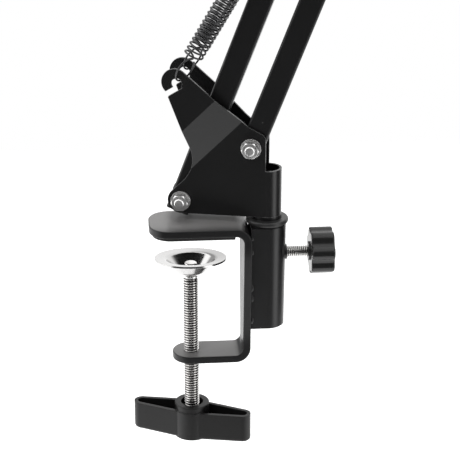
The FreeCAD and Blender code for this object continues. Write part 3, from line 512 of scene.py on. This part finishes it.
# Liner
# A turned-over plastic bush in the mouth of the socket, in which the post turns.
liner_plastic = finish_material(
    "liner_plastic", (0.018, 0.018, 0.018), (0.030, 0.030, 0.030), 0.38,
    grain=1500.0, bump=0.015, gloss_change=0.15, edge=0.35,
)
dress(liner_plastic, "socket_liner")

# Lock insert and tip
# A threaded steel insert welded in the socket's side and painted with it, and the turned brass tip that
# bears on the post.
brass = finish_material(
    "turned_brass", (0.60, 0.43, 0.18), (0.75, 0.60, 0.32), 0.26, metallic=1.0,
    grain=3000.0, bump=0.01, gloss_change=0.2, edge=0.2,
)
dress(brass, "lock_tip")
dress(socket_paint, "lock_insert")

# Pressure disc
# A pressed and polished steel dish that swivels on the end of the clamp screw.
# Painted shade: the dish's edges are given a darker colour than its face, a dark outline round the rim.
polished = finish_material(
    "polished_steel", (0.56, 0.555, 0.55), (0.16, 0.158, 0.155), 0.14, metallic=1.0,
    grain=1400.0, bump=0.006, patch=90.0, gloss_change=0.12, edge=0.25,
)
dress(polished, "pressure_disc")

# Clamp screw
# An 8 mm zinc-plated screw, rolled with one continuous thread. Its top end passes a washer and the disc's
# loose hole and is headed over inside the disc.


def thread_group():
    """Mask for painted shade in a thread's roots: it rises from 0 on a thread's crest to 1 at its root, by
    the distance from the rod's axis.
    """
    group, given, result = new_group(
        "thread_root", [("Crest", 0.004), ("Depth", 0.001), ("Start", 0.0)], [("Mask", "NodeSocketFloat")],
    )
    for label in ("Centre", "Axis"):
        group.interface.new_socket(label, in_out="INPUT", socket_type="NodeSocketVector")
    place = group.nodes.new("ShaderNodeTexCoord")
    away = group.nodes.new("ShaderNodeVectorMath")
    away.operation = "SUBTRACT"
    link(group, place.outputs["Object"], away.inputs[0])
    link(group, given.outputs["Centre"], away.inputs[1])
    square = group.nodes.new("ShaderNodeVectorMath")
    square.operation = "CROSS_PRODUCT"
    link(group, away.outputs[0], square.inputs[0])
    link(group, given.outputs["Axis"], square.inputs[1])
    distance = group.nodes.new("ShaderNodeVectorMath")
    distance.operation = "LENGTH"
    link(group, square.outputs[0], distance.inputs[0])
    sunk = math_node(group, "SUBTRACT", given.outputs["Crest"], distance.outputs["Value"])
    along = group.nodes.new("ShaderNodeVectorMath")
    along.operation = "DOT_PRODUCT"
    link(group, away.outputs[0], along.inputs[0])
    link(group, given.outputs["Axis"], along.inputs[1])
    below = math_node(group, "LESS_THAN", along.outputs["Value"], given.outputs["Start"])
    share = math_node(group, "DIVIDE", sunk, given.outputs["Depth"], clamp=True)
    link(group, math_node(group, "MULTIPLY", share, below), result.inputs["Mask"])
    return group


groups["thread"] = thread_group()


def threaded_material(name, colour, roughness, centre, axis, crest, depth, start, dark):
    """Bright steel with painted shade: the colour darkens in the roots of a thread below start along its
    axis.
    """
    material = finish_material(
        name, colour, tuple(min(1.0, 1.3 * c) for c in colour), roughness, metallic=1.0,
        grain=1800.0, bump=0.010, patch=120.0, gloss_change=0.2, edge=0.10,
    )
    root = group_node(material.node_tree, "thread", {
        "Crest": crest * mm, "Depth": depth * mm, "Start": start * mm, "Centre": centre, "Axis": axis,
    })
    # Painted shade: the base colour goes dark in the thread's roots, where the grooves fall into shade.
    tint(material, root.outputs["Mask"], (dark, dark, 0.95 * dark))
    return material


screw_radius = 3.97
screw_pitch = 1.411
screw_depth = 0.80
screw_low = -114.4
screw_neck = -25.912
screw_shoulder = -25.512
rivet_seat = -22.679
rivet_radius = 3.4
rivet_height = 5.0
rivet_round = 0.9
rivet_shank = 1.8
# The clamp screw's thread roots carry painted shade.
screw_steel = threaded_material(
    "screw_steel", (0.84, 0.825, 0.81), 0.22, (0, 0, 0), (0, 0, 1), 3.9, 0.6, screw_shoulder, 0.04,
)
thread_profile = ((0.035, 1.0), (0.38, 0.0), (0.55, 0.0), (0.895, 1.0))


def thread(radius, depth, pitch, low, high, around=48, runout=1.0):
    """Side of a threaded rod along +Z. Each row climbs one pitch in a turn, so its end meets the row one
    pitch up; the groove's depth follows a four-point profile and runs out to the root at both ends."""
    steps = len(thread_profile)
    turns = int(math.ceil((high - low) / pitch)) + 2
    offset = np.array([p for p, _ in thread_profile])
    depths = np.array([d for _, d in thread_profile])
    height = (np.arange(turns)[:, None] + offset[None, :]).reshape(-1)
    groove = np.tile(depths, turns)
    turn = np.arange(around) / around
    z = low + pitch * (height[:, None] + turn[None, :] - 1.0)
    ends = np.clip((z - low) / runout, 0, 1) * np.clip((high - z) / runout, 0, 1)
    r = radius - depth + depth * (1 - groove)[:, None] * ends
    z = np.clip(z, low, high)
    angle = 2 * np.pi * turn[None, :]
    points = np.stack((r * np.cos(angle), r * np.sin(angle), z), axis=-1)
    rows = points.shape[0]
    row = np.arange(rows - 1 - steps)
    seam = np.stack((
        row * around + around - 1, (row + steps) * around,
        (row + steps + 1) * around, (row + 1) * around + around - 1,
    ), axis=-1)
    return points, np.concatenate((grid_faces(rows, around, False), seam))


def turned(profile, around=48):
    """Closed turned shape along +Z from its half section (radius, height)."""
    section = np.array(profile, float)
    angle = np.linspace(0, 2 * np.pi, around, endpoint=False)[None, :]
    r, z = section[:, :1], section[:, 1:]
    points = np.stack((r * np.cos(angle), r * np.sin(angle), z + 0 * angle), axis=-1)
    return points, grid_faces(len(section), around, True)


def headed(radius, height, edge, seat, steps=6):
    """Half section of a rivet's head: a drum whose top edge is a quarter round."""
    t = np.linspace(0, np.pi / 2, steps)
    crown = seat + height - edge
    return [(radius, seat)] + [(radius - edge + edge * math.cos(a), crown + edge * math.sin(a)) for a in t]


shank_radius = screw_radius - screw_depth / 2
screw_root = screw_radius - screw_depth
screw_top = [(screw_root, screw_neck), (shank_radius, screw_neck), (shank_radius, screw_shoulder)]
screw_top += [(rivet_shank, screw_shoulder), (rivet_shank, rivet_seat)]
screw_top += headed(rivet_radius, rivet_height, rivet_round, rivet_seat) + [(0, rivet_seat + rivet_height)]
clamp_screw = surface_piece(
    "clamp_screw_thread",
    [
        turned([(0, screw_low), (screw_root, screw_low)]),
        thread(screw_radius, screw_depth, screw_pitch, screw_low, screw_neck),
        turned(screw_top),
    ],
    screw_steel, "clamp_screw", sharp=30.0,
)
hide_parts("clamp_screw")

# Wing handle
# One moulding in dull black plastic: a boss with a well in its top and two hollow wings.
handle_plastic = finish_material(
    "handle_plastic", (0.006, 0.0058, 0.0059), (0.045, 0.044, 0.044), 0.38,
    grain=2200.0, bump=0.02, gloss_change=0.15, edge=0.45, specular=0.36,
)
dress(handle_plastic, "clamp_handle")

# Lock screw
# A 6 mm zinc-plated screw in a seven-lobed black knob, turned by hand to stop the post.
lock_radius = 3.0
lock_pitch = 1.0
lock_depth = 0.5
lock_height = -13.2


def along_x(shell, height):
    """Lays a shape made along +Z down along +X at a height."""
    points, quads = shell
    flat = points.reshape(-1, 3)
    return np.stack((flat[:, 2], flat[:, 1], -flat[:, 0] + height), axis=-1), quads


lock_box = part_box("lock_screw")
lock_start = lock_box[0].x / mm
lock_end = lock_box[1].x / mm
lock_root = lock_radius - lock_depth
tip_hole = 1.55
tip_hole_depth = 3.3
tip_hole_end = lock_start + tip_hole_depth
lock_foot = [(0, tip_hole_end), (tip_hole, tip_hole_end), (tip_hole, lock_start), (lock_root, lock_start)]
lock_shells = [
    turned(lock_foot, around=40),
    thread(lock_radius, lock_depth, lock_pitch, lock_start, lock_end, around=40, runout=0.6),
    turned([(lock_root, lock_end), (0, lock_end)], around=40),
]
# The lock screw's thread roots carry painted shade.
lock_steel = threaded_material(
    "lock_steel", (0.95, 0.94, 0.93), 0.22, (0, 0, lock_height * mm), (1, 0, 0), 2.95, 0.4, lock_end, 0.14,
)
lock_screw = surface_piece(
    "lock_screw_thread", [along_x(s, lock_height) for s in lock_shells], lock_steel, "lock_screw", sharp=30.0,
)
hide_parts("lock_screw")

knob_plastic = finish_material(
    "knob_plastic", (0.010, 0.010, 0.010), (0.024, 0.024, 0.024), 0.22,
    grain=900.0, bump=0.008, patch=160.0, gloss_change=0.1, edge=0.4,
)
dress(knob_plastic, "lock_knob", "tilt_knob")

# Base bracket and post
# Folded black sheet that carries the two lower tubes and ends in a pair of spring hooks; the post is
# rolled from the same blank and stands in the socket.
# Painted highlight: the edges are given a much lighter grey, in place of light caught on the sheet and tube
# edges.
arm_paint = finish_material(
    "arm_paint", (0.0058, 0.0058, 0.0061), (0.260, 0.260, 0.262), 0.30,
    grain=800.0, bump=0.012, patch=45.0, gloss_change=0.1, edge=0.35, dust=0.22,
)
dress(arm_paint, "base_bracket", "base_post")

# Square tubes
# Four black tubes of 12 mm, each drilled through at both ends for its pivots.
dress(arm_paint, "lower_left_bar", "lower_right_bar", "upper_low_bar", "upper_high_bar")

# Pivot fasteners
# Zinc-plated hexagon bolts, nuts and washers of size 5, with steel sleeves inside the tubes.
zinc = finish_material(
    "bright_zinc", (0.94, 0.935, 0.93), (0.98, 0.975, 0.97), 0.30, metallic=1.0,
    grain=2400.0, bump=0.012, patch=200.0, gloss_change=0.25, edge=0.25,
)
for group in ("base", "elbow", "head"):
    dress(zinc, group + "_bolts", group + "_nuts", group + "_washers", group + "_sleeves")
dress(zinc, "lower_spring_pin", "upper_spring_pin", "elbow_tie", "pad_washer")
dress(zinc, "swivel_washer", "swivel_nut", "tilt_bolt", "tilt_washer")

# Springs
# Blackened wire of 1 mm wound into open extension springs, a long ring at each end: one ring pulls in a
# hook's eye, the other on a cross pin. Each is shown as two lengths, one on the hook and one on the pin,
# which run inside each other at the middle and slide apart as the spring is drawn out.
spring_steel = finish_material(
    "spring_steel", (0.075, 0.075, 0.077), (0.16, 0.16, 0.16), 0.28, metallic=0.9,
    grain=1500.0, bump=0.01, patch=200.0, gloss_change=0.2, edge=0.12,
)
wire_radius = 0.5
ring_reach = 6.6
hidden_wire = 0.86
hidden_fade = 0.03
coil_lead = 1.8
ring_tilt = math.radians(40.0)
ring_open = math.radians(40.0)
turn_points = 22
ring_points = 40
bend_points = 10
wire_sides = 10
arm_turn = math.radians(-13.5)
post_x = 39.8


def in_frame(points):
    """Arm's plane (x from the post, y across, z up) into the object's frame."""
    x, y, z = points[..., 0], points[..., 1], points[..., 2]
    c, s = math.cos(arm_turn), math.sin(arm_turn)
    return np.stack((x * c - y * s + post_x, x * s + y * c, z), axis=-1)


def hermite(start, start_way, end, end_way, count):
    """Cubic between two points with given end directions; for a U-turn the pull is twice the gap."""
    t = np.linspace(0, 1, count)[:, None]
    pull = 2 * np.linalg.norm(end - start)
    return ((2 * t**3 - 3 * t**2 + 1) * start + (t**3 - 2 * t**2 + t) * pull * start_way
            + (3 * t**2 - 2 * t**3) * end + (t**3 - t**2) * pull * end_way)


def spring_path(eye_end, pin_end, turns, coil_radius):
    """Centre line of the wire and, at each point, a direction across it. Long ring, coil, long ring: the
    coil's point at a turn a is (radius cos a, radius sin a) round the axis and rises evenly with a."""
    axis = pin_end - eye_end
    length = np.linalg.norm(axis)
    axis = axis / length
    flat = np.cross(axis, (0.0, 1.0, 0.0))
    flat = flat / np.linalg.norm(flat)
    deep = np.cross(axis, flat)
    first = ring_tilt - math.pi / 2
    last = math.pi / 2 + 2 * math.pi * turns
    start = 2 * ring_reach + coil_lead
    rise = (length - 2 * start) / (last - first)

    def coil(a):
        a = np.atleast_1d(a)[:, None]
        centre = eye_end + axis * (start + rise * (a - first))
        return centre + coil_radius * (flat * np.cos(a) + deep * np.sin(a))

    def heading(a):
        way = coil_radius * (deep * math.cos(a) - flat * math.sin(a)) + axis * rise
        return way / np.linalg.norm(way)

    def side(a):
        return deep * math.cos(a) - flat * math.sin(a)

    def ring(centre, one, two, a):
        c, s = np.cos(a)[:, None], np.sin(a)[:, None]
        points = centre + one * ring_reach * c + two * coil_radius * s
        return points, one * coil_radius * c + two * ring_reach * s

    sweep = np.linspace(0, 2 * math.pi - ring_open, ring_points)
    low_ring, low_across = ring(eye_end + axis * ring_reach, axis, side(first), sweep[::-1])
    high_ring, high_across = ring(pin_end - axis * ring_reach, -axis, -side(last), sweep)
    low_bend = hermite(low_ring[-1], -side(first), coil(first)[0], heading(first), bend_points)[1:-1]
    high_bend = hermite(coil(last)[0], heading(last), high_ring[0], -side(last), bend_points)[1:-1]
    middle = coil(np.linspace(first, last, int((last - first) / (2 * math.pi) * turn_points)))
    line = np.concatenate((low_ring, low_bend, middle, high_bend, high_ring))
    straight = np.tile(axis, (len(low_bend) + len(middle) + len(high_bend), 1))
    return line, np.concatenate((low_across, straight, -high_across)), (line - eye_end) @ axis / length


def wire(line, across, thick):
    """Round wire swept along a line: a circle square to the line at each point, with closed ends."""
    along = np.gradient(line, axis=0)
    along = along / np.linalg.norm(along, axis=1, keepdims=True)
    one = across - along * np.sum(across * along, axis=1, keepdims=True)
    one = one / np.linalg.norm(one, axis=1, keepdims=True)
    two = np.cross(along, one)
    a = np.linspace(0, 2 * np.pi, wire_sides, endpoint=False)
    circle = one[:, None, :] * np.cos(a)[None, :, None] + two[:, None, :] * np.sin(a)[None, :, None]
    body = line[:, None, :] + circle * thick[:, None, None]
    caps = [np.repeat(end[None, None, :], wire_sides, 1) for end in (line[0], line[-1])]
    body = np.concatenate((caps[0], body, caps[1]))
    return body, grid_faces(len(body), wire_sides, True)


spring_out = 12.0
hook_out = 10.8
eye_clear = 1.0
pin_seat = 2.8
bar_angle = math.radians(20.9)
rise_angle = math.radians(25.0)
bar_length = 340.0
pin_along = 200.0
pivot_low = np.array((-43.8, 0.0, 15.7))
hook_eye = np.array((-44.5, 0.0, 79.1))
elbow_step = np.array((22.5, 0.0, 70.7))
horn_along = 20.0
horn_up = 12.0
lower_way = np.array((math.sin(bar_angle), 0.0, math.cos(bar_angle)))
upper_way = np.array((-math.cos(rise_angle), 0.0, math.sin(rise_angle)))
upper_up = np.array((math.sin(rise_angle), 0.0, math.cos(rise_angle)))
upper_pivot = pivot_low + lower_way * bar_length + elbow_step
horn_eye = upper_pivot + upper_way * horn_along + upper_up * horn_up
spring_sets = (
    ("lower", hook_eye, 2.7, pivot_low + lower_way * pin_along, 44, 4.65, "lower_springs", "lower_pin"),
    ("upper", horn_eye, 2.9, upper_pivot + upper_way * pin_along, 58, 4.2, "upper_springs", "upper_pin"),
)
overlap_low = 0.42
overlap_high = 0.58
for arm, eye, eye_radius, pin, turns, coil_radius, hook_body, pin_body in spring_sets:
    flat_way = (pin - eye) / np.linalg.norm(pin - eye)
    for label, side in (("front", -1.0), ("rear", 1.0)):
        eye_end = eye + np.array((0.0, side * hook_out, 0.0)) + flat_way * (eye_radius - eye_clear)
        pin_point = pin + np.array((0.0, side * spring_out, 0.0))
        way = (pin_point - eye_end) / np.linalg.norm(pin_point - eye_end)
        pin_end = pin_point + way * pin_seat
        line, across, share = spring_path(in_frame(eye_end), in_frame(pin_end), turns, coil_radius)
        on_hook = share <= overlap_high
        on_pin = share >= overlap_low
        hidden = np.clip((overlap_high - share) / hidden_fade, 0, 1)
        full = np.full(len(line), wire_radius)
        thin = wire_radius * (1 - (1 - hidden_wire) * hidden)
        name = arm + "_spring_" + label
        low_half = surface_piece(name + "_hook_length", [wire(line[on_hook], across[on_hook], full[on_hook])],
                                 spring_steel, hook_body, sharp=60.0)
        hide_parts(name)
        high_half = surface_piece(name + "_pin_length", [wire(line[on_pin], across[on_pin], thin[on_pin])],
                                  spring_steel, pin_body, sharp=60.0)

# Elbow
# Two black sheet plates bolted either side of the tubes, each with a stepped horn for an upper spring.
dress(arm_paint, "elbow_front_plate", "elbow_rear_plate")

# Head
# A folded bracket on the upper tubes, a turned bush with the swivel, and a yoke that tilts the knuckle.
dress(arm_paint, "head_bracket", "head_bush", "swivel_yoke", "tilt_knuckle")

# Microphone stud
# A plated 5/8 inch stud with 27 threads to the inch under a flange, which takes the microphone's clip.
stud_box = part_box("mic_stud")
stud_centre = ((stud_box[0] + stud_box[1]) / 2) / mm
stud_top = stud_box[1].z / mm
stud_tip = stud_box[0].z / mm
stud_radius = 7.94
stud_pitch = 25.4 / 27
stud_depth = 0.55
stud_flange_r = 11.0
stud_flange = 3.0
stud_edge = 0.6
stud_chamfer = (1.0, 0.45)
flange_under = stud_top - stud_flange


def stand_at(shell, x, y):
    points, quads = shell
    return points.reshape(-1, 3) + np.array((x, y, 0.0)), quads


flange_section = [
    (0, flange_under), (stud_flange_r - stud_edge, flange_under), (stud_flange_r, flange_under + stud_edge),
    (stud_flange_r, stud_top - stud_edge), (stud_flange_r - stud_edge, stud_top), (0, stud_top),
]
stud_root = stud_radius - stud_depth
thread_start = stud_tip + stud_chamfer[1]
stud_shells = [
    turned(flange_section, around=64),
    turned([(0, stud_tip), (stud_radius - stud_chamfer[0], stud_tip), (stud_root, thread_start)], around=64),
    thread(stud_radius, stud_depth, stud_pitch, thread_start, flange_under, around=64, runout=0.7),
    turned([(stud_root, flange_under), (0, flange_under)], around=64),
]
# The stud's thread roots carry painted shade.
stud_steel = threaded_material(
    "stud_steel", (0.80, 0.79, 0.78), 0.24, (stud_centre.x * mm, stud_centre.y * mm, 0), (0, 0, 1), 7.9, 0.5,
    flange_under, 0.10,
)
mic_stud = surface_piece(
    "mic_stud_thread", [stand_at(s, stud_centre.x, stud_centre.y) for s in stud_shells],
    stud_steel, "tilt_knuckle", sharp=30.0,
)
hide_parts("mic_stud")
